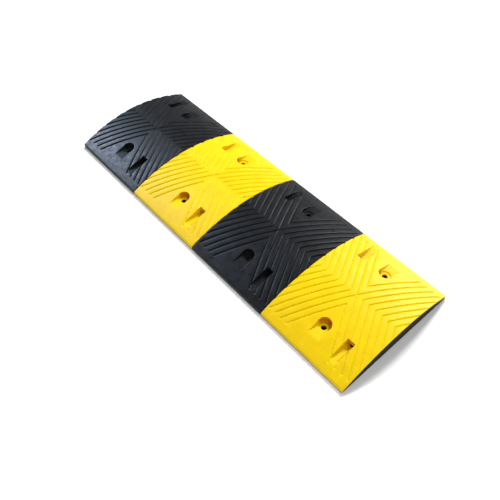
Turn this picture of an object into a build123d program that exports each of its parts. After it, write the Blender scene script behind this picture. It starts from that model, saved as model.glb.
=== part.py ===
from build123d import *
import os
from math import atan, cos, degrees, acos, sin, sqrt

# Rubber speed bump: four equal modules in one line, black and yellow in turn.
# Each module is an arched rubber block with slanting tread grooves, two bolt pockets and two
# reflector pockets. The yellow modules are a black base with a yellow skin bonded over it.
# Frame: origin in the middle of the footprint on the road, +X along the bump, +Y across it, +Z up.
# All sizes are in millimetres. A module is first made with its own middle at the origin.

# Overall size
MODULE_COUNT = 4
OVERALL_LENGTH = 1000.0
JOINT_GAP = 2.0
WIDTH = 350.0
HEIGHT = 50.0
LIP_HEIGHT = 10.0
LIP_RADIUS = 2.5
END_RADIUS = 1.2

# Tread grooves: straight in plan, following the arch at a constant depth
GROOVE_SLOPE = 0.53
GROOVE_PITCH = 18.2
GROOVE_DEPTH = 2.4
GROOVE_TOP_WIDTH = 5.2
GROOVE_FLOOR_WIDTH = 1.6
GROOVE_OVERCUT = 1.5
GROOVES_INSIDE_CENTRE = 1
GROOVES_OUTSIDE_CENTRE = 6
PLAIN_BORDER = 18.0

# Bolt pocket: a level floor, round at the crest side, that runs out to the road edge in a straight
# channel, with a shallow round seat sunk in it for the bolt head
BOLT_OFFSET = 102.0
POCKET_RADIUS = 16.5
POCKET_Z = 26.0
CHANNEL_WIDTH = 31.0
BOLT_SEAT_RADIUS = 14.0
BOLT_SEAT_Z = 23.5
BOLT_HOLE_RADIUS = 6.5

# Reflector pocket: a straight-sided recess with a keying slot at the foot of its deep end wall
REFLECTOR_NEAR_X = 58.5
REFLECTOR_WIDTH = 19.5
REFLECTOR_WALL_Y = 90.5
REFLECTOR_Z = 20.5
REFLECTOR_SLOT_WIDTH = 11.0
REFLECTOR_SLOT_HEIGHT = 8.0
REFLECTOR_SLOT_DEPTH = 6.0
REFLECTOR_RIB_INSET = 3.0
REFLECTOR_RIB_WIDTH = 2.5
REFLECTOR_RIB_HEIGHT = 1.5
REFLECTOR_RIB_END_Y = 140.0

# Yellow skin and the foot of the base that shows below it
SKIN = 4.0
FOOT_HEIGHT = 2.0

# Underside drain grooves, stopped short of the edges
DRAIN_SPACING = 50.0
DRAIN_WIDTH = 5.0
DRAIN_DEPTH = 2.0
DRAIN_MARGIN = 15.0

# Hidden steel: washers moulded in under the seats, and pins across the joints
WASHER_RADIUS = 20.0
WASHER_BORE_RADIUS = 5.25
WASHER_THICKNESS = 3.0
WASHER_Z = 12.0
PIN_RADIUS = 6.0
PIN_LENGTH = 60.0
PIN_OFFSET = 60.0
PIN_Z = 18.0
PIN_CHAMFER = 1.0

# Derived sizes
MODULE_LENGTH = (OVERALL_LENGTH - (MODULE_COUNT - 1) * JOINT_GAP) / MODULE_COUNT
PITCH = MODULE_LENGTH + JOINT_GAP
HALF_LENGTH = MODULE_LENGTH / 2
HALF_WIDTH = WIDTH / 2
RISE = HEIGHT - LIP_HEIGHT
ARCH_RADIUS = (HALF_WIDTH**2 + RISE**2) / (2 * RISE)
ARCH_CENTRE_Z = HEIGHT - ARCH_RADIUS
CLEAR = 20.0


def arch_z(y, lowered=0.0):
    """Height of the arch at a distance y from the crest line, or of an arch below it."""
    return ARCH_CENTRE_Z + sqrt((ARCH_RADIUS - lowered) ** 2 - y**2)


def block(x0, x1, y0, y1, z0, z1):
    """An upright box between two corners."""
    return Pos((x0 + x1) / 2, (y0 + y1) / 2, (z0 + z1) / 2) * Box(x1 - x0, y1 - y0, z1 - z0)


def upright(x, y, radius, z0, z1):
    """An upright cylinder."""
    return Pos(x, y, (z0 + z1) / 2) * Cylinder(radius, z1 - z0)


def half_turn(shape):
    """The same shape at the other side of the module's middle."""
    return Rot(0, 0, 180) * shape


def arch_block(lowered=0.0):
    """The arched block, one module long. A lowered arch is also that much narrower at each lip."""
    side = HALF_WIDTH - lowered
    crest = (0, HEIGHT - lowered)
    shoulder = arch_z(side, lowered)
    with BuildSketch(Plane.YZ) as section:
        with BuildLine():
            Polyline((-side, shoulder), (-side, 0), (side, 0), (side, shoulder))
            ThreePointArc((side, shoulder), crest, (-side, shoulder))
        make_face()
    return extrude(section.sketch, HALF_LENGTH, both=True)


def rounded_block():
    """The arched block with rounded lips and rounded end edges."""
    body = arch_block()
    lips = body.edges().filter_by(Axis.X).filter_by(lambda e: e.center().Z > LIP_HEIGHT / 2)
    body = fillet(lips, LIP_RADIUS)
    ends = body.faces().filter_by(Axis.X).edges().filter_by(lambda e: e.center().Z > 1)
    return fillet(ends, END_RADIUS)


def bolt_pocket(grown=0.0):
    """The front bolt pocket as a solid to cut, grown outwards all round."""
    top = HEIGHT + CLEAR
    seat = upright(0, -BOLT_OFFSET, BOLT_SEAT_RADIUS + grown, BOLT_SEAT_Z - grown, top)
    round_end = upright(0, -BOLT_OFFSET, POCKET_RADIUS + grown, POCKET_Z - grown, top)
    half = CHANNEL_WIDTH / 2 + grown
    channel = block(-half, half, -HALF_WIDTH, -BOLT_OFFSET, POCKET_Z - grown, top)
    return seat + round_end + channel


def reflector_pocket(grown=0.0):
    """The front reflector pocket with its keying slot, as a solid to cut, grown outwards."""
    far_x = REFLECTOR_NEAR_X + REFLECTOR_WIDTH
    floor = REFLECTOR_Z - grown
    wall = -REFLECTOR_WALL_Y + grown
    pocket = block(REFLECTOR_NEAR_X - grown, far_x + grown, -HALF_WIDTH, wall, floor, HEIGHT + CLEAR)
    slot_top = REFLECTOR_Z + REFLECTOR_SLOT_HEIGHT + grown
    slot_end = wall + REFLECTOR_SLOT_DEPTH
    slot = block(far_x - REFLECTOR_SLOT_WIDTH - grown, far_x + grown, wall - 1, slot_end, floor, slot_top)
    return pocket + slot


def reflector_ribs():
    """Two low ribs along the reflector pocket's floor, one beside each long wall."""
    ribs = []
    near = REFLECTOR_NEAR_X + REFLECTOR_RIB_INSET
    far = REFLECTOR_NEAR_X + REFLECTOR_WIDTH - REFLECTOR_RIB_INSET - REFLECTOR_RIB_WIDTH
    for x in (near, far):
        ribs.append(
            block(
                x,
                x + REFLECTOR_RIB_WIDTH,
                -REFLECTOR_RIB_END_Y,
                -REFLECTOR_WALL_Y,
                REFLECTOR_Z - 1,
                REFLECTOR_Z + REFLECTOR_RIB_HEIGHT,
            )
        )
    return ribs


def quadrant_grooves():
    """The grooves of the quarter with negative x and y, each one clipped to that quarter."""
    slant = atan(GROOVE_SLOPE)
    along = Vector(-sin(slant), -cos(slant), 0)
    across = Vector(-cos(slant), sin(slant), 0)
    wall_plane = Plane(origin=(0, 0, ARCH_CENTRE_Z), x_dir=along, z_dir=across)
    outer_angle = degrees(acos((HALF_WIDTH - PLAIN_BORDER / 2) / ARCH_RADIUS))
    with BuildLine(wall_plane) as route:
        EllipticalCenterArc(
            (0, 0), ARCH_RADIUS / cos(slant), ARCH_RADIUS, outer_angle, arc_size=91 - outer_angle
        )
    start = route.line @ 0
    section_plane = Plane(origin=start, x_dir=across, z_dir=route.line % 0)
    floor_half = GROOVE_FLOOR_WIDTH / 2
    widening = (GROOVE_TOP_WIDTH - GROOVE_FLOOR_WIDTH) / 2 / GROOVE_DEPTH
    top_half = GROOVE_TOP_WIDTH / 2 + widening * GROOVE_OVERCUT
    up = 1 if section_plane.y_dir.Z > 0 else -1
    with BuildSketch(section_plane) as section:
        with BuildLine():
            Polyline(
                (-floor_half, -up * GROOVE_DEPTH),
                (floor_half, -up * GROOVE_DEPTH),
                (top_half, up * GROOVE_OVERCUT),
                (-top_half, up * GROOVE_OVERCUT),
                close=True,
            )
        make_face()
    groove = sweep(section.sketch, path=route.line)
    quarter = block(-HALF_LENGTH - 1, 0, -HALF_WIDTH + PLAIN_BORDER, 0, 0, HEIGHT + CLEAR)
    grooves = []
    for k in range(-GROOVES_INSIDE_CENTRE, GROOVES_OUTSIDE_CENTRE + 1):
        grooves.append((Pos(-k * GROOVE_PITCH, 0, 0) * groove) & quarter)
    return grooves


def all_grooves():
    """The quarter's grooves, mirrored into all four quarters."""
    front_left = quadrant_grooves()
    front = front_left + [g.mirror(Plane.YZ) for g in front_left]
    return front + [g.mirror(Plane.XZ) for g in front]


def drain_grooves():
    """A shallow grid of grooves in the underside."""
    grooves = []
    x_end = HALF_LENGTH - DRAIN_MARGIN
    y_end = HALF_WIDTH - DRAIN_MARGIN
    half = DRAIN_WIDTH / 2
    for i in range(-2, 3):
        x = i * DRAIN_SPACING
        grooves.append(block(x - half, x + half, -y_end, y_end, -1, DRAIN_DEPTH))
    for j in range(-3, 4):
        y = j * DRAIN_SPACING
        grooves.append(block(-x_end, x_end, y - half, y + half, -1, DRAIN_DEPTH))
    return grooves


def washer(y):
    """A washer at the bolt hole at that side."""
    disc = upright(0, y, WASHER_RADIUS, WASHER_Z, WASHER_Z + WASHER_THICKNESS)
    return disc - upright(0, y, WASHER_BORE_RADIUS, 0, HEIGHT)


def pin(x, y):
    """A joint pin along X, with chamfered ends."""
    rod = Pos(x, y, PIN_Z) * Rot(0, 90, 0) * Cylinder(PIN_RADIUS, PIN_LENGTH)
    return chamfer(rod.faces().filter_by(Axis.X).edges(), PIN_CHAMFER)


def inner_cuts(joined_ends):
    """What is cut out of a module's black rubber below the surface."""
    cuts = drain_grooves()
    for side in (-1, 1):
        cuts.append(upright(0, side * BOLT_OFFSET, BOLT_HOLE_RADIUS, -1, HEIGHT))
        cuts.append(upright(0, side * BOLT_OFFSET, WASHER_RADIUS, WASHER_Z, WASHER_Z + WASHER_THICKNESS))
        for end in joined_ends:
            cuts.append(pin(end * PITCH / 2, side * PIN_OFFSET))
    return cuts


def outer_module(grooves):
    """The whole visible shape of a module, before anything is cut below the surface."""
    body = rounded_block()
    cuts = []
    for pocket, ribs in ((bolt_pocket(), []), (reflector_pocket(), reflector_ribs())):
        front = pocket - ribs if ribs else pocket
        cuts += [front, half_turn(front)]
    return body - cuts - grooves


def yellow_base():
    """The black base under a yellow skin: a lowered arch on a thin foot, with grown pockets."""
    core = arch_block(SKIN) + block(-HALF_LENGTH, HALF_LENGTH, -HALF_WIDTH, HALF_WIDTH, 0, FOOT_HEIGHT)
    core = core & rounded_block()
    cuts = []
    for pocket in (bolt_pocket(SKIN), reflector_pocket(SKIN)):
        cuts += [pocket, half_turn(pocket)]
    return core - cuts


def main():
    os.makedirs("parts", exist_ok=True)
    outer = outer_module(all_grooves())
    base = yellow_base()
    holes = [upright(0, side * BOLT_OFFSET, BOLT_HOLE_RADIUS, -1, HEIGHT) for side in (-1, 1)]
    skin = outer - base - holes
    for number in range(1, MODULE_COUNT + 1):
        x = (number - (MODULE_COUNT + 1) / 2) * PITCH
        place = Pos(x, 0, 0)
        joined_ends = [end for end in (-1, 1) if 1 <= number + end <= MODULE_COUNT]
        if number % 2:
            export_step(place * (outer - inner_cuts(joined_ends)), f"parts/black_module_{number}.step")
        else:
            export_step(place * (base - inner_cuts(joined_ends)), f"parts/yellow_module_{number}_base.step")
            export_step(place * skin, f"parts/yellow_module_{number}_skin.step")
        for side, name in ((-1, "front"), (1, "back")):
            export_step(place * washer(side * BOLT_OFFSET), f"parts/washer_{number}_{name}.step")
            if number < MODULE_COUNT:
                export_step(pin(x + PITCH / 2, side * PIN_OFFSET), f"parts/pin_joint_{number}_{name}.step")


main()
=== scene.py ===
import math

import bpy
import numpy as np
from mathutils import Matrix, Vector
from mathutils.geometry import delaunay_2d_cdt


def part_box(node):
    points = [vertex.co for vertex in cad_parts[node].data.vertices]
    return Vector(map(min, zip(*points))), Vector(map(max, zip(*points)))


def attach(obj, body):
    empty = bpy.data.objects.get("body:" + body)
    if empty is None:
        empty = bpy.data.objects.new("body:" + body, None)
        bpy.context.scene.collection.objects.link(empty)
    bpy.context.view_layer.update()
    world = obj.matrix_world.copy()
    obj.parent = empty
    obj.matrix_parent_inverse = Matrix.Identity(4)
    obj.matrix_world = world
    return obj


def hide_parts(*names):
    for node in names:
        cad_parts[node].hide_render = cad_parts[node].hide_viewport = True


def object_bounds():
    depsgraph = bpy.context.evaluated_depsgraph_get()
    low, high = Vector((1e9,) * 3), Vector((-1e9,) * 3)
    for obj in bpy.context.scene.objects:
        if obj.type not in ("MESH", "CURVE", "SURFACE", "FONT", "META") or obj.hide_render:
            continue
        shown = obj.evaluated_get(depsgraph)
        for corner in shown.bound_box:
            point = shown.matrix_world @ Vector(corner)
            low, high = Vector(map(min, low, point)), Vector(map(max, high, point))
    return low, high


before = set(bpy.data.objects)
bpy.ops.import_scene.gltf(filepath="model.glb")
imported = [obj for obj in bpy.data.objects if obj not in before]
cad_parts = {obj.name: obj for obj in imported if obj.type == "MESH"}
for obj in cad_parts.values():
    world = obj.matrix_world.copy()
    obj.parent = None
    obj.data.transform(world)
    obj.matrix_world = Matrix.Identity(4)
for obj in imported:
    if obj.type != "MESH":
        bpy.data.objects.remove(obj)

# A rubber speed bump of four modules. The modules' rubber is rebuilt here with rounded ribs, rims
# and edges; the steel washers and pins keep the frame's shape and get a new material. Lengths are in
# millimetres in a module's own coordinates until a mesh is made, and in metres from there on.

cad_low, cad_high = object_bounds()

MM = 0.001
MODULES = [
    ("black_module_1", None),
    ("yellow_module_2_base", "yellow_module_2_skin"),
    ("black_module_3", None),
    ("yellow_module_4_base", "yellow_module_4_skin"),
]

low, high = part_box("black_module_1")
HALF_LENGTH = (high.x - low.x) / 2 / MM
HALF_WIDTH = (high.y - low.y) / 2 / MM
HEIGHT = high.z / MM
washer_low, washer_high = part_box("washer_1_back")
BOLT_OFFSET = (washer_low.y + washer_high.y) / 2 / MM

# The arch, the upright lip at its long edges, and the rounded edges
LIP_HEIGHT = 10.0
LIP_RADIUS = 2.5
END_RADIUS = 1.0
RISE = HEIGHT - LIP_HEIGHT
ARCH_RADIUS = (HALF_WIDTH**2 + RISE**2) / (2 * RISE)
ARCH_CENTRE_Z = HEIGHT - ARCH_RADIUS
UNDER_EDGE_RADIUS = 0.6
CORNER_SEGMENTS = 5

# Where lines run along a rounded edge, as shares of its radius
ROUNDING_SHARES = (0.076, 0.29, 0.62, 1.0)

# Tread: slanting ribs between grooves whose lines are |x| - SLOPE |y| = k PITCH. A rib falls by CROWN
# from its middle to the groove, and the grooves fade out between GROOVE_FULL_Y and GROOVE_END_Y.
SLOPE = 0.53
PITCH = 18.2
FIRST_GROOVE, LAST_GROOVE = -1, 6
LEAN = math.cos(math.atan(SLOPE))
GROOVE_HALF_WIDTH = 2.6
GROOVE_DEPTH = 2.2
CROWN = 0.6
GROOVE_FULL_Y, GROOVE_END_Y = 152.5, 157.0

# Lines of points beside a groove: as shares of its half width, and by distance along the bump
GROOVE_LINES = (0.25, 0.5, 0.75, 1.0)
CROWN_LINES = (4.1, 5.7, 7.4)
ROW_CLEARANCE, END_CLEARANCE = 0.5, 0.2

# Rows of points across the bump: on the ribs, where the grooves run out, and on the plain border
RIB_ROWS = [*range(7, 148, 7)]
RUN_OUT_ROWS = [150.0, 151.3, 152.5, 153.6, 154.8, 156.0, 157.0]
BORDER_ROWS = [160.0, 164.0, 168.0]
POINT_SPACING = 9.0

# The plain middle triangles get points where they are wide enough, and clear of the first groove
PLAIN_LEAST_HALF, PLAIN_INSET = 12.0, 4.0

# Bolt pockets and the round seats in them
POCKET_RADIUS = 16.5
CHANNEL_HALF_WIDTH = 15.5
POCKET_Z = 26.0
SEAT_RADIUS = 14.0
SEAT_Z = 23.5
HOLE_RADIUS = 6.5
HOLE_RIM = 0.6

# Reflector pockets
REFLECTOR_NEAR_X, REFLECTOR_FAR_X = 58.5, 78.0
REFLECTOR_WALL_Y = 90.5
REFLECTOR_Z = 20.5
REFLECTOR_CORNER = 2.0
RIB_LINES_X = (62.75, 73.75)
RIB_HEIGHT = 1.5
RIB_TOP_HALF, RIB_MIDDLE_HALF, RIB_FOOT_HALF = 0.5, 0.87, 1.25
RIB_RAMP_Y, RIB_END_Y = 137.5, 140.0
RIB_FIRST_ROW = -95.0
RIB_RAMP_ROWS = [-138.2, -138.8, -139.4]

# Keying slot in the front reflector pocket: its limits in x, y and z
SLOT_BOX = ((66.9, 77.2), (-91.6, -84.5), (20.9, 28.5))
SLOT_TOLERANCE = 0.01

# Walls of the pockets: rim radius, floor fillet, and how far a wall leans over its height
POCKET_WALL = (1.2, 1.0, 0.4)
SEAT_WALL = (0.6, 0.6, 0.3)

# The most of a shallow wall's height that its rim or its fillet takes
ROUNDED_SHARE = 0.45

# Where lines follow those walls: by distance inside a pocket, and by radius round a bolt hole
POCKET_LINES = (-1.2, -0.6, -0.16, 0.0, 0.4, 0.53, 0.9, 1.4)
SEAT_LINES = (14.6, 14.25, 14.0, 13.7, 13.5, 13.1, 10.0, 7.1, 6.7, HOLE_RADIUS)
CIRCLE_SEGMENTS = 48
ARC_STEPS = 30
CORNER_STEPS = 5
LINE_SPACING, FIRST_SPACING = 5.0, 4.0
CHANNEL_OVERRUN = 6.0
RUN_OUT_POINTS = 9
REFLECTOR_LINES_END_Y = GROOVE_END_Y - 0.5

# Where painted shade darkens a wall: across it, by its depth, and by how near it is to the pocket's crest
# end.
# The seat's wall takes it as if its floor were at SEAT_SHADE_Z.
WALL_MIDDLE, WALL_REACH, WALL_FULL_DEPTH = 0.5, 1.6, 12.0
SEAT_SHADE_Z = POCKET_Z - 4.0
BOLT_SHADE_END_Y = BOLT_OFFSET + 4.0
REFLECTOR_SHADE_END_Y = REFLECTOR_WALL_Y + 7.0
SHADE_FADE = 9.0
SIDE_WALL_SHARE = 0.05

# A point this far below the tread is in a pocket, where no groove shows
POCKET_MIN_DEPTH = 0.3

# Yellow skin and the black base under it
SKIN = 4.0
FOOT_HEIGHT = 2.0
STEP_LEAN = 0.3
SEAT_MARGIN = 1.0
INNER_CHANNEL_END_Y, INNER_REFLECTOR_END_Y = -160, -170
INNER_ROWS = range(-168, 169, 7)
INNER_ROW_POINTS = 11

# Underside drain grooves
DRAIN_SPACING, DRAIN_HALF_WIDTH, DRAIN_DEPTH, DRAIN_MARGIN = 50.0, 2.5, 2.0, 15.0
UNDER_ROWS = range(-160, 161, 16)
UNDER_SPACING, UNDER_MARGIN = 16.0, 6.0


# ---------------------------------------------------------------- heights

def arch(y, lowered=0.0):
    """Height of the arch, or of an arch that is concentric with it and below it."""
    return ARCH_CENTRE_Z + np.sqrt((ARCH_RADIUS - lowered) ** 2 - y**2)


def outline_distance(x, y):
    """Distance inside the module's outline, a rectangle with slightly rounded corners."""
    ax = np.abs(x) - (HALF_LENGTH - END_RADIUS)
    ay = np.abs(y) - (HALF_WIDTH - END_RADIUS)
    corner = np.hypot(np.maximum(ax, 0), np.maximum(ay, 0))
    return END_RADIUS - np.where((ax > 0) & (ay > 0), corner, np.maximum(ax, ay))


def rounding(distance, radius):
    """How far a rounded edge drops at a distance inside it."""
    left = radius - np.clip(distance, 0, radius)
    return radius - np.sqrt(radius**2 - left**2)


def smooth(value):
    """A smooth step from 0 to 1."""
    t = np.clip(value, 0, 1)
    return t * t * (3 - 2 * t)


def tread(x, y):
    """How far the ribbed surface is below the arch, and how deep in a groove that is, from 0 to 1."""
    q = np.abs(x) - SLOPE * np.abs(y)
    nearest = np.clip(np.round(q / PITCH), FIRST_GROOVE, LAST_GROOVE)
    across = np.abs(q - nearest * PITCH) * LEAN
    wave = 0.5 + 0.5 * np.cos(np.pi * across / GROOVE_HALF_WIDTH)
    groove = np.where(across < GROOVE_HALF_WIDTH, wave, 0)
    crown = np.clip(1 - across / (PITCH / 2 * LEAN), 0, 1) ** 2
    fade = smooth((GROOVE_END_Y - np.abs(y)) / (GROOVE_END_Y - GROOVE_FULL_Y))
    return fade * (GROOVE_DEPTH * groove + CROWN * crown), fade * groove


def step_down(inside, top, floor, wall):
    """Height across a pocket's wall, at a distance inside the pocket's outline."""
    rim, fillet, lean = wall
    depth = np.maximum(top - floor, 0)
    r1 = np.minimum(rim, ROUNDED_SHARE * depth)
    r2 = np.minimum(fillet, ROUNDED_SHARE * depth)
    over_rim = np.clip(inside + r1, 0, r1)
    on_rim = top - r1 + np.sqrt(np.maximum(r1**2 - over_rim**2, 0))
    share = np.clip(inside / lean, 0, 1)
    on_wall = (top - r1) * (1 - share) + (floor + r2) * share
    to_floor = np.clip(lean + r2 - inside, 0, r2)
    on_floor = floor + r2 - np.sqrt(np.maximum(r2**2 - to_floor**2, 0))
    height = np.where(inside <= 0, on_rim, np.where(inside <= lean, on_wall, on_floor))
    return np.where(top > floor, height, top)


def front_turned(x, y):
    """The same point in the front half: the back half is the front one after a half turn."""
    side = np.where(y > 0, -1, 1)
    return x * side, y * side


def bolt_pocket_inside(x, y, grown=0.0):
    """Distance inside the front bolt pocket's outline."""
    reach = POCKET_RADIUS + grown - np.hypot(x, y + BOLT_OFFSET)
    channel = np.minimum(CHANNEL_HALF_WIDTH + grown - np.abs(x), -BOLT_OFFSET - y)
    return np.maximum(reach, channel)


def reflector_pocket_inside(x, y, grown=0.0, corner=REFLECTOR_CORNER):
    """Distance inside the front reflector pocket's outline, which is open towards the long edge."""
    half = (REFLECTOR_FAR_X - REFLECTOR_NEAR_X) / 2 + grown
    ax = np.abs(x - (REFLECTOR_NEAR_X + REFLECTOR_FAR_X) / 2) - (half - corner)
    ay = y + REFLECTOR_WALL_Y - grown + corner
    round_part = np.hypot(np.maximum(ax, 0), np.maximum(ay, 0))
    return corner - np.where((ax > 0) & (ay > 0), round_part, np.maximum(ax, ay))


def reflector_floor(x, y):
    """The reflector pocket's floor with its two low ribs."""
    floor = np.full(np.shape(x), REFLECTOR_Z)
    ramp = smooth((RIB_END_Y + y) / (RIB_END_Y - RIB_RAMP_Y))
    for line in RIB_LINES_X:
        slope = (RIB_FOOT_HALF - np.abs(x - line)) / (RIB_FOOT_HALF - RIB_TOP_HALF)
        floor = floor + RIB_HEIGHT * smooth(slope) * ramp
    return floor


def painted_wall_shade(x, y, skin):
    """How much painted shade darkens the front pockets' walls, from 0 to 1."""
    seat_inside = SEAT_RADIUS - np.hypot(x, y + BOLT_OFFSET)
    walls = (
        (bolt_pocket_inside(x, y), POCKET_Z, BOLT_SHADE_END_Y),
        (seat_inside, SEAT_SHADE_Z, BOLT_SHADE_END_Y),
        (reflector_pocket_inside(x, y), REFLECTOR_Z, REFLECTOR_SHADE_END_Y),
    )
    wall_shade = np.zeros(np.shape(x))
    for inside, floor, shade_end_y in walls:
        near = np.clip(1 - np.abs(inside - WALL_MIDDLE) / WALL_REACH, 0, 1)
        deep = np.clip((skin - floor) / WALL_FULL_DEPTH, 0, 1) ** 2
        at_end = SIDE_WALL_SHARE + (1 - SIDE_WALL_SHARE) * smooth((shade_end_y + y) / SHADE_FADE)
        wall_shade = np.maximum(wall_shade, near * deep * at_end)
    return wall_shade


def outer_surface(x, y):
    """The rubber's whole outer surface: height, groove share, share of painted shade on the pocket walls,
    and edge share.
    """
    lowered, groove = tread(x, y)
    skin = arch(y) - lowered
    fx, fy = front_turned(x, y)
    z = step_down(bolt_pocket_inside(fx, fy), skin, POCKET_Z, POCKET_WALL)
    from_bolt = np.hypot(fx, fy + BOLT_OFFSET)
    seated = step_down(SEAT_RADIUS - from_bolt, z, SEAT_Z, SEAT_WALL)
    z = np.where(from_bolt < POCKET_RADIUS, seated, z)
    z = z - rounding(from_bolt - HOLE_RADIUS, HOLE_RIM)
    z = step_down(reflector_pocket_inside(fx, fy), z, reflector_floor(fx, fy), POCKET_WALL)
    wall = painted_wall_shade(fx, fy, skin)
    in_pocket = skin - z > POCKET_MIN_DEPTH
    from_end, from_lip = HALF_LENGTH - np.abs(x), HALF_WIDTH - np.abs(y)
    z = z - rounding(from_end, END_RADIUS) - rounding(from_lip, LIP_RADIUS)
    edge = 1 - np.minimum(from_end / END_RADIUS, from_lip / LIP_RADIUS)
    return z, groove * ~in_pocket, wall, np.clip(edge, 0, 1)


def inner_surface(x, y):
    """Where the yellow skin meets its base: the arch and pockets one skin thickness further in."""
    side = HALF_WIDTH - SKIN
    z = arch(np.clip(y, -side, side), SKIN)
    share = np.clip((np.abs(y) - side) / STEP_LEAN, 0, 1)
    z = z * (1 - share) + FOOT_HEIGHT * share
    fx, fy = front_turned(x, y)
    wall = (0.0, 0.0, STEP_LEAN)
    z = step_down(bolt_pocket_inside(fx, fy, SKIN), z, POCKET_Z - SKIN, wall)
    from_bolt = np.hypot(fx, fy + BOLT_OFFSET)
    seated = step_down(SEAT_RADIUS + SKIN - from_bolt, z, SEAT_Z - SKIN, wall)
    z = np.where(from_bolt < SEAT_RADIUS + SKIN + SEAT_MARGIN, seated, z)
    z = step_down(reflector_pocket_inside(fx, fy, SKIN, 0.0), z, REFLECTOR_Z - SKIN, wall)
    return step_down(slot_inside(fx, fy), z, REFLECTOR_Z - SKIN, wall)


def slot_inside(x, y):
    """Distance inside the plan of the reflector's keying slot with the skin round it."""
    (x0, x1), (y0, y1), _ = SLOT_BOX
    half_x, half_y = (x1 - x0) / 2 + SKIN, (y1 - y0) / 2 + SKIN
    return np.minimum(half_x - np.abs(x - (x0 + x1) / 2), half_y - np.abs(y - (y0 + y1) / 2))


def drain_rectangles():
    """Centre and half sizes of every drain groove."""
    x_half, y_half = HALF_LENGTH - DRAIN_MARGIN, HALF_WIDTH - DRAIN_MARGIN
    beside_x, beside_y = int(x_half // DRAIN_SPACING), int(y_half // DRAIN_SPACING)
    along_y = [(i * DRAIN_SPACING, 0.0, DRAIN_HALF_WIDTH, y_half) for i in range(-beside_x, beside_x + 1)]
    along_x = [(0.0, j * DRAIN_SPACING, x_half, DRAIN_HALF_WIDTH) for j in range(-beside_y, beside_y + 1)]
    return along_y + along_x


def underside(x, y):
    """The underside, with its drain grooves and a slightly rounded outer edge."""
    inside = np.full(np.shape(x), -1.0)
    for cx, cy, hx, hy in drain_rectangles():
        inside = np.maximum(inside, np.minimum(hx - np.abs(x - cx), hy - np.abs(y - cy)))
    share = np.clip(inside / STEP_LEAN, 0, 1)
    return DRAIN_DEPTH * share + rounding(outline_distance(x, y), UNDER_EDGE_RADIUS)


# ---------------------------------------------------------------- plans and sheets

MERGE_DISTANCE = 1e-4


class Plan:
    """Points and lines seen from above, from which a sheet is triangulated."""

    def __init__(self):
        self.points = []
        self.edges = []

    def line(self, points, closed=False):
        """Points joined one to the next, and the last to the first if closed."""
        first = len(self.points)
        self.points += [(float(x), float(y)) for x, y in points]
        last = len(self.points) - 1
        self.edges += [(i, i + 1) for i in range(first, last)]
        if closed:
            self.edges.append((last, first))

    def both_halves(self, points, closed=False):
        """A line in the front half, and the same line after a half turn."""
        self.line(points, closed)
        self.line([(-x, -y) for x, y in points], closed)

    def sheet(self):
        """Vertices and upward triangles inside the outline and outside the bolt holes."""
        points = [Vector(p) for p in self.points]
        verts, _, faces, _, _, _ = delaunay_2d_cdt(points, self.edges, [], 0, MERGE_DISTANCE)
        xy = np.array([v[:] for v in verts])
        tris = np.array(faces)
        a, b, c = xy[tris[:, 0]], xy[tris[:, 1]], xy[tris[:, 2]]
        turn = (b[:, 0] - a[:, 0]) * (c[:, 1] - a[:, 1]) - (b[:, 1] - a[:, 1]) * (c[:, 0] - a[:, 0])
        tris[turn < 0] = tris[turn < 0][:, ::-1]
        mid = (a + b + c) / 3
        keep = np.hypot(mid[:, 0], np.abs(mid[:, 1]) - BOLT_OFFSET) > HOLE_RADIUS
        tris = tris[keep]
        used, back = np.unique(tris, return_inverse=True)
        return xy[used], back.reshape(-1, 3)


def outline(inset):
    """The module's outline, moved in by a distance."""
    radius = END_RADIUS - inset
    points = []
    for k, (sx, sy) in enumerate(((1, 1), (-1, 1), (-1, -1), (1, -1))):
        cx, cy = sx * (HALF_LENGTH - END_RADIUS), sy * (HALF_WIDTH - END_RADIUS)
        for i in range(CORNER_SEGMENTS + 1):
            angle = math.pi / 2 * (k + i / CORNER_SEGMENTS)
            points.append((cx + radius * math.cos(angle), cy + radius * math.sin(angle)))
    return points


def edge_lines(plan):
    """Lines along the four top edges, spaced over their rounding."""
    x_end, y_end = HALF_LENGTH - END_RADIUS, HALF_WIDTH - END_RADIUS
    for share in ROUNDING_SHARES:
        for sign in (-1, 1):
            x = sign * (HALF_LENGTH - share * END_RADIUS)
            y = sign * (HALF_WIDTH - share * LIP_RADIUS)
            plan.line([(x, -y_end), (x, y_end)])
            plan.line([(-x_end, y), (x_end, y)])


def rectangle(x0, x1, y0, y1, grown):
    """A rectangle's corners, each side moved out by a distance."""
    x0, x1, y0, y1 = x0 - grown, x1 + grown, y0 - grown, y1 + grown
    return [(x0, y0), (x1, y0), (x1, y1), (x0, y1)]


def circle(radius):
    """A circle round the front bolt hole."""
    turn = 2 * math.pi / CIRCLE_SEGMENTS
    angles = [i * turn for i in range(CIRCLE_SEGMENTS)]
    return [(radius * math.cos(a), radius * math.sin(a) - BOLT_OFFSET) for a in angles]


def bolt_pocket_line(inside, end_y, grown=0.0):
    """The front bolt pocket's outline moved in by a distance, open at the long edge's side."""
    radius, half = POCKET_RADIUS + grown - inside, CHANNEL_HALF_WIDTH + grown - inside
    below = math.asin(math.sqrt(radius**2 - half**2) / radius)
    arc = []
    for i in range(ARC_STEPS + 1):
        angle = -below + (math.pi + 2 * below) * i / ARC_STEPS
        arc.append((radius * math.cos(angle), radius * math.sin(angle) - BOLT_OFFSET))
    down = np.arange(arc[0][1] - FIRST_SPACING, end_y, -LINE_SPACING)
    right = [(half, y) for y in down[::-1]]
    left = [(-half, y) for y in down]
    return [(half, end_y)] + right + arc + left + [(-half, end_y)]


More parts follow.
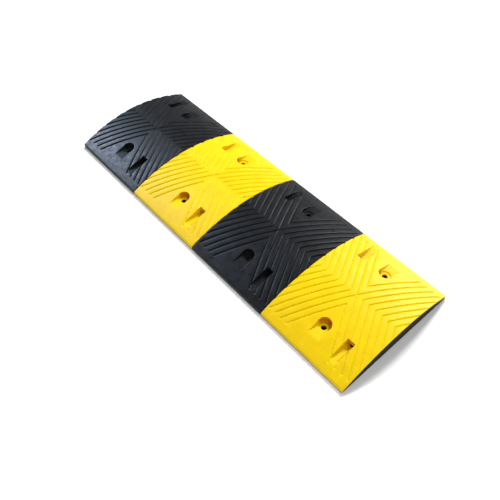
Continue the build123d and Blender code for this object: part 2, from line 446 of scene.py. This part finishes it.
def reflector_line(inside, end_y, grown=0.0, corner=REFLECTOR_CORNER):
    """The front reflector pocket's outline moved in by a distance, open at the long edge's side."""
    x0, x1 = REFLECTOR_NEAR_X - grown + inside, REFLECTOR_FAR_X + grown - inside
    wall = -REFLECTOR_WALL_Y + grown - inside
    radius = max(corner - inside, 0)
    right, left = [(x1, wall)], [(x0, wall)]
    if radius:
        angles = [math.pi / 2 * i / CORNER_STEPS for i in range(CORNER_STEPS + 1)]
        cx, cy = x1 - radius, wall - radius
        right = [(cx + radius * math.cos(a), cy + radius * math.sin(a)) for a in angles]
        left = [(x0 + x1 - x, y) for x, y in right[::-1]]
    down = np.arange(wall - max(radius, 1) - FIRST_SPACING, end_y, -LINE_SPACING)
    rise = [(x1, y) for y in down[::-1]]
    fall = [(x0, y) for y in down]
    return [(x1, end_y)] + rise + right + left + fall + [(x0, end_y)]


def tread_lines(plan):
    """Lines along the ribs and grooves, with points at every row."""
    offsets = [share * GROOVE_HALF_WIDTH / LEAN for share in GROOVE_LINES] + list(CROWN_LINES)
    lines = []
    for k in range(FIRST_GROOVE, LAST_GROOVE + 1):
        lines += [k * PITCH + sign * o for o in offsets for sign in (-1, 1)]
        lines += [k * PITCH, (k - 0.5) * PITCH]
    lines.append((LAST_GROOVE + 0.5) * PITCH)
    for q in sorted(lines):
        start = 0.0 if q >= 0 else -q / SLOPE
        points = [(max(q, 0.0), start)]
        for y in RIB_ROWS + RUN_OUT_ROWS:
            if y > start + ROW_CLEARANCE:
                points.append((q + SLOPE * y, y))
        inside = [p for p in points if p[0] < HALF_LENGTH - END_CLEARANCE]
        if len(inside) < len(points):
            inside.append((HALF_LENGTH, (HALF_LENGTH - q) / SLOPE))
        if len(inside) > 1:
            for sx in (-1, 1):
                for sy in (-1, 1):
                    plan.line([(sx * x, sy * y) for x, y in inside])


def row_points(plan, rows, spacing, x_half):
    """Loose points along rows, for the plain parts of the surface."""
    count = int(round(x_half / spacing))
    for y in rows:
        for i in range(-count, count + 1):
            plan.points.append((i * x_half / count, y))


def plain_surface(plan):
    """The middle lines, and loose points on the border and on the plain middle triangles."""
    last_row = HALF_WIDTH - LIP_RADIUS
    ribbed = RIB_ROWS + RUN_OUT_ROWS[:-1:3]
    border = RUN_OUT_ROWS[-1:] + BORDER_ROWS
    rows = ribbed + border
    crest_end = HALF_LENGTH - END_RADIUS
    plan.line([(0, y) for y in [-last_row, *[-r for r in rows[::-1]], 0, *rows, last_row]])
    plan.line([(-crest_end, 0), (crest_end, 0)])
    for sign in (-1, 1):
        row_points(plan, [sign * r for r in border], POINT_SPACING, crest_end)
    for y in ribbed:
        plain_half = SLOPE * y + (FIRST_GROOVE - 0.5) * PITCH
        if plain_half > PLAIN_LEAST_HALF:
            for sign in (-1, 1):
                row_points(plan, [sign * y], POINT_SPACING, plain_half - PLAIN_INSET)


def outer_plan():
    """The outer surface's plan."""
    plan = Plan()
    plan.line(outline(0.0), closed=True)
    edge_lines(plan)
    tread_lines(plan)
    plain_surface(plan)
    run_out = math.sqrt(ARCH_RADIUS**2 - (POCKET_Z - ARCH_CENTRE_Z) ** 2)
    for inside in POCKET_LINES:
        plan.both_halves(bolt_pocket_line(inside, -run_out - CHANNEL_OVERRUN))
        plan.both_halves(reflector_line(inside, -REFLECTOR_LINES_END_Y))
    across = np.linspace(-CHANNEL_HALF_WIDTH, CHANNEL_HALF_WIDTH, RUN_OUT_POINTS)
    plan.both_halves([(x, -run_out) for x in across])
    for radius in SEAT_LINES:
        plan.both_halves(circle(radius), closed=True)
    level_rows = [-REFLECTOR_WALL_Y, *np.arange(RIB_FIRST_ROW, -RIB_RAMP_Y, -LINE_SPACING)]
    rib_rows = level_rows + [-RIB_RAMP_Y, *RIB_RAMP_ROWS, -RIB_END_Y]
    for line in RIB_LINES_X:
        for offset in (-RIB_FOOT_HALF, -RIB_MIDDLE_HALF, -RIB_TOP_HALF,
                       RIB_TOP_HALF, RIB_MIDDLE_HALF, RIB_FOOT_HALF):
            plan.both_halves([(line + offset, y) for y in rib_rows])
    return plan


def inner_plan(outer_rim):
    """The plan of the surface between skin and base, with the outer surface's own rim."""
    plan = Plan()
    plan.points += outer_rim
    side = HALF_WIDTH - SKIN
    plan.line(outline(0.0), closed=True)
    for y in (side, side + STEP_LEAN):
        plan.line([(-HALF_LENGTH, y), (HALF_LENGTH, y)])
        plan.line([(-HALF_LENGTH, -y), (HALF_LENGTH, -y)])
    for y in INNER_ROWS:
        plan.line([(x, y) for x in np.linspace(-HALF_LENGTH, HALF_LENGTH, INNER_ROW_POINTS)])
    seat = SEAT_RADIUS + SKIN
    for inside in (0.0, STEP_LEAN):
        plan.both_halves(bolt_pocket_line(inside, INNER_CHANNEL_END_Y, SKIN))
        plan.both_halves(reflector_line(inside, INNER_REFLECTOR_END_Y, SKIN, 0.0))
        plan.both_halves(circle(seat - inside), closed=True)
        (x0, x1), (y0, y1), _ = SLOT_BOX
        plan.both_halves(rectangle(x0, x1, y0, y1, SKIN - inside), closed=True)
    plan.both_halves(circle(HOLE_RADIUS), closed=True)
    return plan


def underside_plan(outer_rim):
    """The underside's plan, with the outer surface's own rim."""
    plan = Plan()
    plan.points += outer_rim
    for share in (0.0, *ROUNDING_SHARES):
        plan.line(outline(share * UNDER_EDGE_RADIUS), closed=True)
    for cx, cy, hx, hy in drain_rectangles():
        for inset in (0.0, STEP_LEAN):
            plan.line(rectangle(cx - hx, cx + hx, cy - hy, cy + hy, -inset), closed=True)
    plan.both_halves(circle(HOLE_RADIUS), closed=True)
    row_points(plan, UNDER_ROWS, UNDER_SPACING, HALF_LENGTH - UNDER_MARGIN)
    return plan


# ---------------------------------------------------------------- solids

# How far outside a bolt hole its own rim points are looked for
RIM_REACH = 0.5


def rim_loops(xy, tris):
    """The sheet's open rims: the outline first, then each bolt hole, in order of their angle."""
    edges = np.concatenate([tris[:, [0, 1]], tris[:, [1, 2]], tris[:, [2, 0]]])
    keys = np.sort(edges, axis=1)
    _, first, counts = np.unique(keys, axis=0, return_index=True, return_counts=True)
    rim = np.unique(edges[first[counts == 1]])
    loops = []
    for centre_y in (-BOLT_OFFSET, BOLT_OFFSET):
        near = rim[np.hypot(xy[rim, 0], xy[rim, 1] - centre_y) < HOLE_RADIUS + RIM_REACH]
        angle = np.arctan2(xy[near, 1] - centre_y, xy[near, 0])
        order = np.argsort(angle)
        loops.append((near[order], angle[order]))
        rim = np.setdiff1d(rim, near)
    angle = np.arctan2(xy[rim, 1] / HALF_WIDTH, xy[rim, 0] / HALF_LENGTH)
    order = np.argsort(angle)
    return [(rim[order], angle[order])] + loops


# Stand-ins for a rim's next angle: back at its first point, and when it is used up
BACK_AT_START, USED_UP = 7.0, 99.0


def next_angle(angles, i):
    """The angle of a rim's point after point i."""
    if i + 1 < len(angles):
        return angles[i + 1]
    return BACK_AT_START if i < len(angles) else USED_UP


def joined(upper, upper_angles, lower, lower_angles):
    """Triangles that join two rims, both in order of angle, facing away from their middle."""
    faces = []
    i = j = 0
    while i < len(upper) or j < len(lower):
        u, v = upper[i % len(upper)], lower[j % len(lower)]
        if next_angle(upper_angles, i) <= next_angle(lower_angles, j):
            faces.append((u, v, upper[(i + 1) % len(upper)]))
            i += 1
        else:
            faces.append((u, v, lower[(j + 1) % len(lower)]))
            j += 1
    return faces


def solid_mesh(name, top, top_z, bottom, bottom_z, shares=None):
    """A closed mesh between two sheets with the same outline and holes."""
    top_xy, top_tris = top
    low_xy, low_tris = bottom
    shift = len(top_xy)
    faces = [tuple(t) for t in top_tris] + [tuple(t[::-1] + shift) for t in low_tris]
    for k, (up, down) in enumerate(zip(rim_loops(*top), rim_loops(*bottom))):
        wall = joined(up[0], up[1], down[0] + shift, down[1])
        faces += wall if k == 0 else [f[::-1] for f in wall]
    verts = np.concatenate([np.column_stack([top_xy, top_z]), np.column_stack([low_xy, bottom_z])])
    mesh = bpy.data.meshes.new(name)
    mesh.from_pydata((verts * MM).tolist(), [], [tuple(int(i) for i in f) for f in faces])
    for key, values in (shares or {}).items():
        attribute = mesh.attributes.new(key, "FLOAT", "POINT")
        padded = np.concatenate([values, np.zeros(len(low_xy))]).astype(np.float32)
        attribute.data.foreach_set("value", padded)
    return mesh


def box_mesh(name, boxes):
    """Closed boxes in one mesh, for cutting."""
    verts, faces = [], []
    for (x0, x1), (y0, y1), (z0, z1) in boxes:
        n = len(verts)
        corners = rectangle(x0, x1, y0, y1, 0.0)
        verts += [(x * MM, y * MM, z * MM) for z in (z0, z1) for x, y in corners]
        faces += [(n + 3, n + 2, n + 1, n), (n + 4, n + 5, n + 6, n + 7)]
        faces += [(n + i, n + (i + 1) % 4, n + 4 + (i + 1) % 4, n + 4 + i) for i in range(4)]
    mesh = bpy.data.meshes.new(name)
    mesh.from_pydata(verts, [], faces)
    return mesh


def without(mesh, cutter_mesh):
    """The mesh with the cutter mesh cut out of it."""
    body = bpy.data.objects.new("uncut", mesh)
    cutter = bpy.data.objects.new("cutter", cutter_mesh)
    for o in (body, cutter):
        bpy.context.scene.collection.objects.link(o)
    cut = body.modifiers.new("cut", "BOOLEAN")
    cut.operation = "DIFFERENCE"
    cut.solver = "EXACT"
    cut.object = cutter
    bpy.context.view_layer.update()
    evaluated = body.evaluated_get(bpy.context.evaluated_depsgraph_get())
    result = bpy.data.meshes.new_from_object(evaluated)
    for o in (body, cutter):
        bpy.data.objects.remove(o)
    return result


def mark_slots(mesh):
    """Marks the faces inside the keying slots, which get painted shade."""
    inside = []
    for v in mesh.vertices:
        x, y, z = v.co / MM
        place = (x, y, z) if y < 0 else (-x, -y, z)
        limits = zip(place, SLOT_BOX)
        inside.append(all(a - SLOT_TOLERANCE < value < b + SLOT_TOLERANCE for value, (a, b) in limits))
    marks = mesh.attributes.new("slot", "FLOAT", "FACE").data
    for face in mesh.polygons:
        marks[face.index].value = float(all(inside[i] for i in face.vertices))


outer = outer_plan().sheet()
outline_points = rim_loops(*outer)[0][0]
outer_rim = outer[0][outline_points].tolist()
inner = inner_plan(outer_rim).sheet()
under = underside_plan(outer_rim).sheet()
outer_z, groove_share, wall_shade_share, edge_share = outer_surface(*outer[0].T)
inner_z = inner_surface(*inner[0].T)
under_z = underside(*under[0].T)
# The groove and wall shares steer painted shade in the grooves and on the pocket walls; the edge share
# steers worn edges.
SHARES = {"groove": groove_share, "wall": wall_shade_share, "edge": edge_share}

slot_x, slot_y, slot_z = SLOT_BOX
back_slot_box = ((-slot_x[1], -slot_x[0]), (-slot_y[1], -slot_y[0]), slot_z)
slots = box_mesh("slots", [SLOT_BOX, back_slot_box])
black_mesh = without(solid_mesh("black", outer, outer_z, under, under_z, SHARES), slots)
skin_mesh = without(solid_mesh("skin", outer, outer_z, inner, inner_z, SHARES), slots)
base_mesh = solid_mesh("base", inner, inner_z, under, under_z)
mark_slots(black_mesh)
mark_slots(skin_mesh)


# ---------------------------------------------------------------- materials

def new_material(name):
    """A material with its nodes and links."""
    material = bpy.data.materials.new(name)
    material.use_nodes = True
    return material, material.node_tree.nodes, material.node_tree.links


def noise(nodes, links, scale, detail=3.0, rough=0.5):
    """Noise in the object's own coordinates, in features per metre."""
    coords = nodes.new("ShaderNodeTexCoord")
    texture = nodes.new("ShaderNodeTexNoise")
    texture.inputs["Scale"].default_value = scale
    texture.inputs["Detail"].default_value = detail
    texture.inputs["Roughness"].default_value = rough
    links.new(coords.outputs["Object"], texture.inputs["Vector"])
    return texture.outputs["Fac"]


def ramp(nodes, links, value, stops):
    """A colour ramp over a value. Stops are (position, colour)."""
    node = nodes.new("ShaderNodeValToRGB")
    elements = node.color_ramp.elements
    while len(elements) < len(stops):
        elements.new(0.5)
    for element, (position, colour) in zip(elements, stops):
        element.position = position
        element.color = (*colour, 1)
    links.new(value, node.inputs["Fac"])
    return node.outputs["Color"]


def mix(nodes, links, factor, a, b):
    """Two colours, mixed by a factor."""
    node = nodes.new("ShaderNodeMix")
    node.data_type = "RGBA"
    for key, value in (("Factor", factor), ("A", a), ("B", b)):
        socket = node.inputs[key]
        if isinstance(value, (int, float)):
            socket.default_value = value
        elif isinstance(value, tuple):
            socket.default_value = (*value, 1)
        else:
            links.new(value, socket)
    return node.outputs["Result"]


def attribute(nodes, name):
    """A mesh attribute's value."""
    node = nodes.new("ShaderNodeAttribute")
    node.attribute_name = name
    return node.outputs["Fac"]


def maths(nodes, links, operation, a, b):
    """Two values put through one operation."""
    node = nodes.new("ShaderNodeMath")
    node.operation = operation
    for socket, value in zip(node.inputs, (a, b)):
        if isinstance(value, (int, float)):
            socket.default_value = value
        else:
            links.new(value, socket)
    return node.outputs["Value"]


def grey(level):
    """A neutral colour."""
    return (level,) * 3


def rubber(name, tones, worn, groove_shade_colour, groove_shade_amount, wall_shade, wall_shade_amount, roughness, specular):
    """Moulded rubber: mottled colour, worn edges, painted shade in the grooves, on the pocket walls and in
    the keying slots, fine grain.
    """
    material, nodes, links = new_material(name)
    shader = nodes["Principled BSDF"]
    mottle = noise(nodes, links, scale=38.0, detail=5.0, rough=0.6)
    colour = ramp(nodes, links, mottle, [(0.32, tones[0]), (0.5, tones[1]), (0.68, tones[2])])
    specks = noise(nodes, links, scale=900.0, detail=2.0)
    speckle = ramp(nodes, links, specks, [(0.62, grey(0)), (0.72, grey(1))])
    colour = mix(nodes, links, maths(nodes, links, "MULTIPLY", speckle, SPECKLE_AMOUNT), colour, worn)
    patches = noise(nodes, links, scale=160.0, detail=4.0)
    patchy = ramp(nodes, links, patches, [(0.4, grey(0)), (0.62, grey(1))])
    edge = maths(nodes, links, "MULTIPLY", attribute(nodes, "edge"), patchy)
    colour = mix(nodes, links, maths(nodes, links, "MULTIPLY", edge, EDGE_WEAR), colour, worn)
    # Painted shade in the grooves: darker on black rubber, a greener yellow on yellow rubber so the
    # shading reads olive.
    deep = maths(nodes, links, "MULTIPLY", attribute(nodes, "groove"), groove_shade_amount)
    colour = mix(nodes, links, deep, colour, groove_shade_colour)
    # Painted shade on the pocket walls, strongest towards their deep crest end.
    wall_shade_factor = maths(nodes, links, "MULTIPLY", attribute(nodes, "wall"), wall_shade_amount)
    colour = mix(nodes, links, wall_shade_factor, colour, wall_shade)
    # Painted shade: the keying slots' faces are darkened as if in deep shadow.
    colour = mix(nodes, links, attribute(nodes, "slot"), colour, SLOT_SHADE)
    links.new(colour, shader.inputs["Base Color"])
    polish = noise(nodes, links, scale=90.0, detail=4.0)
    rough = ramp(nodes, links, polish, [(0.3, grey(roughness[0])), (0.7, grey(roughness[1]))])
    links.new(rough, shader.inputs["Roughness"])
    shader.inputs["Specular IOR Level"].default_value = specular
    fine_grain = noise(nodes, links, scale=1500.0, detail=2.0)
    coarse_grain = noise(nodes, links, scale=260.0)
    coarse_share = maths(nodes, links, "MULTIPLY", coarse_grain, COARSE_GRAIN_SHARE)
    grain = maths(nodes, links, "ADD", fine_grain, coarse_share)
    bump = nodes.new("ShaderNodeBump")
    bump.inputs["Strength"].default_value = GRAIN_STRENGTH
    bump.inputs["Distance"].default_value = GRAIN_DEPTH * MM
    links.new(grain, bump.inputs["Height"])
    links.new(bump.outputs["Normal"], shader.inputs["Normal"])
    return material


def zinc(name):
    """Zinc-plated steel with a faint spangle."""
    material, nodes, links = new_material(name)
    shader = nodes["Principled BSDF"]
    spangle = noise(nodes, links, scale=320.0)
    colour = ramp(nodes, links, spangle, [(0.35, (0.42, 0.43, 0.45)), (0.65, (0.62, 0.63, 0.64))])
    links.new(colour, shader.inputs["Base Color"])
    polish = noise(nodes, links, scale=700.0, detail=2.0)
    rough = ramp(nodes, links, polish, [(0.3, grey(0.28)), (0.7, grey(0.45))])
    links.new(rough, shader.inputs["Roughness"])
    shader.inputs["Metallic"].default_value = 1.0
    return material


SPECKLE_AMOUNT = 0.12
EDGE_WEAR = 0.5
GRAIN_STRENGTH = 0.35
GRAIN_DEPTH = 0.25
COARSE_GRAIN_SHARE = 0.9
SLOT_SHADE = (0.012, 0.005, 0.002)
BLACK_TONES = ((0.006, 0.0063, 0.0075), (0.008, 0.0083, 0.0098), (0.0115, 0.012, 0.014))
# Near-black painted shade for the black rubber's grooves and pocket walls.
BLACK_SHADE = (0.004, 0.004, 0.0045)
YELLOW_TONES = ((0.80, 0.54, 0.001), (0.85, 0.58, 0.001), (0.89, 0.62, 0.002))
black_rubber = rubber(
    "black_rubber", BLACK_TONES, worn=(0.045, 0.047, 0.052), groove_shade_colour=BLACK_SHADE, groove_shade_amount=0.3,
    wall_shade=BLACK_SHADE, wall_shade_amount=0.35, roughness=(0.27, 0.51), specular=0.22)
# yellow_rubber: orange-brown painted shade on the pocket walls, and a greener painted shade tone in the
# grooves.
yellow_rubber = rubber(
    "yellow_rubber", YELLOW_TONES, worn=(0.94, 0.68, 0.04), groove_shade_colour=(0.75, 0.645, 0.001),
    groove_shade_amount=0.8, wall_shade=(0.46, 0.09, 0.001), wall_shade_amount=0.95, roughness=(0.36, 0.48), specular=0.18)
base_rubber = rubber(
    "base_rubber", BLACK_TONES, worn=(0.035, 0.037, 0.040), groove_shade_colour=BLACK_SHADE, groove_shade_amount=0.0,
    wall_shade=BLACK_SHADE, wall_shade_amount=0.0, roughness=(0.60, 0.72), specular=0.10)
zinc_steel = zinc("zinc_steel")


# ---------------------------------------------------------------- pieces

# Edges bent by more than this stay sharp
SHARP_ANGLE = math.radians(50)


def add_piece(name, mesh, node, material):
    """One rubber piece in place of a frame node, at that node's middle along the bump."""
    low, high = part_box(node)
    own = mesh.copy()
    own.name = name
    for v in own.vertices:
        v.co.x += (low.x + high.x) / 2
    own.materials.clear()
    own.materials.append(material)
    own.polygons.foreach_set("use_smooth", [True] * len(own.polygons))
    own.polygons.foreach_set("material_index", [0] * len(own.polygons))
    own.set_sharp_from_angle(angle=SHARP_ANGLE)
    piece = bpy.data.objects.new(name, own)
    bpy.context.scene.collection.objects.link(piece)
    weighted = piece.modifiers.new("weighted normals", "WEIGHTED_NORMAL")
    weighted.mode = "FACE_AREA"
    weighted.keep_sharp = True
    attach(piece, "root")
    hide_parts(node)


for number, (base_node, skin_node) in enumerate(MODULES, start=1):
    if skin_node is None:
        add_piece(f"rubber_black_{number}", black_mesh, base_node, black_rubber)
    else:
        add_piece(f"rubber_base_{number}", base_mesh, base_node, base_rubber)
        add_piece(f"rubber_yellow_skin_{number}", skin_mesh, skin_node, yellow_rubber)

for name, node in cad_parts.items():
    if name.startswith(("washer", "pin_joint")):
        node.data.materials.clear()
        node.data.materials.append(zinc_steel)


# ---------------------------------------------------------------- stage

def plain_material(name, colour, roughness):
    """One even colour with no sheen."""
    material, nodes, _ = new_material(name)
    shader = nodes["Principled BSDF"]
    shader.inputs["Base Color"].default_value = (*colour, 1)
    shader.inputs["Roughness"].default_value = roughness
    shader.inputs["Specular IOR Level"].default_value = 0.0
    return material


FLOOR_HALF = 8
FLOOR_GAP = 0.0002
WORLD_STRENGTH = 0.28

floor_mesh = bpy.data.meshes.new("floor")
floor_corners = rectangle(-FLOOR_HALF, FLOOR_HALF, -FLOOR_HALF, FLOOR_HALF, 0)
floor_mesh.from_pydata([(x, y, 0) for x, y in floor_corners], [], [(0, 1, 2, 3)])
floor = bpy.data.objects.new("floor", floor_mesh)
floor.location.z = cad_low.z - FLOOR_GAP
floor_mesh.materials.append(plain_material("floor", (0.93, 0.93, 0.93), 0.9))
bpy.context.scene.collection.objects.link(floor)

world = bpy.data.worlds.new("world")
world.use_nodes = True
background = world.node_tree.nodes["Background"]
background.inputs["Color"].default_value = (1, 1, 1, 1)
background.inputs["Strength"].default_value = WORLD_STRENGTH
bpy.context.scene.world = world


def area_light(name, direction, distance, size, watts, lights, colour=(1, 1, 1), target=(0, 0, 0)):
    """A rectangular light, at a distance from its target, for diffuse or for glossy reflection."""
    data = bpy.data.lights.new(name, "AREA")
    data.shape = "RECTANGLE"
    data.size, data.size_y = size
    data.energy = watts
    data.color = colour
    light = bpy.data.objects.new(name, data)
    aim = Vector(direction).normalized()
    light.location = Vector(target) + aim * distance
    light.rotation_mode = "QUATERNION"
    light.rotation_quaternion = aim.to_track_quat("Z", "Y")
    light.visible_diffuse = lights != "glossy"
    light.visible_glossy = lights != "diffuse"
    light.visible_camera = False
    bpy.context.scene.collection.objects.link(light)


# Name, direction it comes from, distance and size in metres, watts, and what it is for
area_light("back key", (-0.24, 0.60, 0.76), 3.0, (0.8, 0.8), 96, "diffuse")
area_light("right fill", (0.72, -0.28, 0.63), 3.0, (1.2, 1.2), 27, "diffuse")
area_light("left key", (-0.46, 0.14, 0.88), 3.0, (0.25, 0.25), 16, "diffuse")
area_light("sheen", (-0.80, -0.22, 0.56), 2.2, (0.9, 1.1), 68, "glossy",
           colour=(0.66, 0.79, 1.0), target=(-0.40, -0.06, 0))
area_light("soft sheen", (-0.62, -0.02, 0.78), 1.1, (0.6, 0.7), 6, "glossy",
           colour=(0.52, 0.73, 1.0), target=(-0.40, 0.02, 0))
area_light("glint", (0.05, 0.70, 0.70), 2.5, (0.4, 0.4), 34, "glossy", colour=(0.90, 0.95, 1.0))
area_light("back card", (-0.10, 0.93, 0.36), 1.0, (0.6, 0.6), 8, "glossy", target=(0.47, 0.13, 0.02))


# ---------------------------------------------------------------- camera

LENS, SENSOR_WIDTH = 40.3, 36.0
AZIMUTH, ELEVATION, DISTANCE = math.radians(48.45), math.radians(52.23), 1.380
AIM_POINT = Vector((0.0957, -0.0687, 0.0))

camera_data = bpy.data.cameras.new("camera")
camera_data.lens = LENS
camera_data.sensor_width = SENSOR_WIDTH
camera = bpy.data.objects.new("camera", camera_data)
level = math.cos(ELEVATION)
back = Vector((math.sin(AZIMUTH) * level, -math.cos(AZIMUTH) * level, math.sin(ELEVATION)))
camera.location = AIM_POINT + back * DISTANCE
camera.rotation_mode = "QUATERNION"
camera.rotation_quaternion = back.to_track_quat("Z", "Y")
bpy.context.scene.collection.objects.link(camera)
bpy.context.scene.camera = camera
bpy.context.scene.view_settings.view_transform = "Standard"
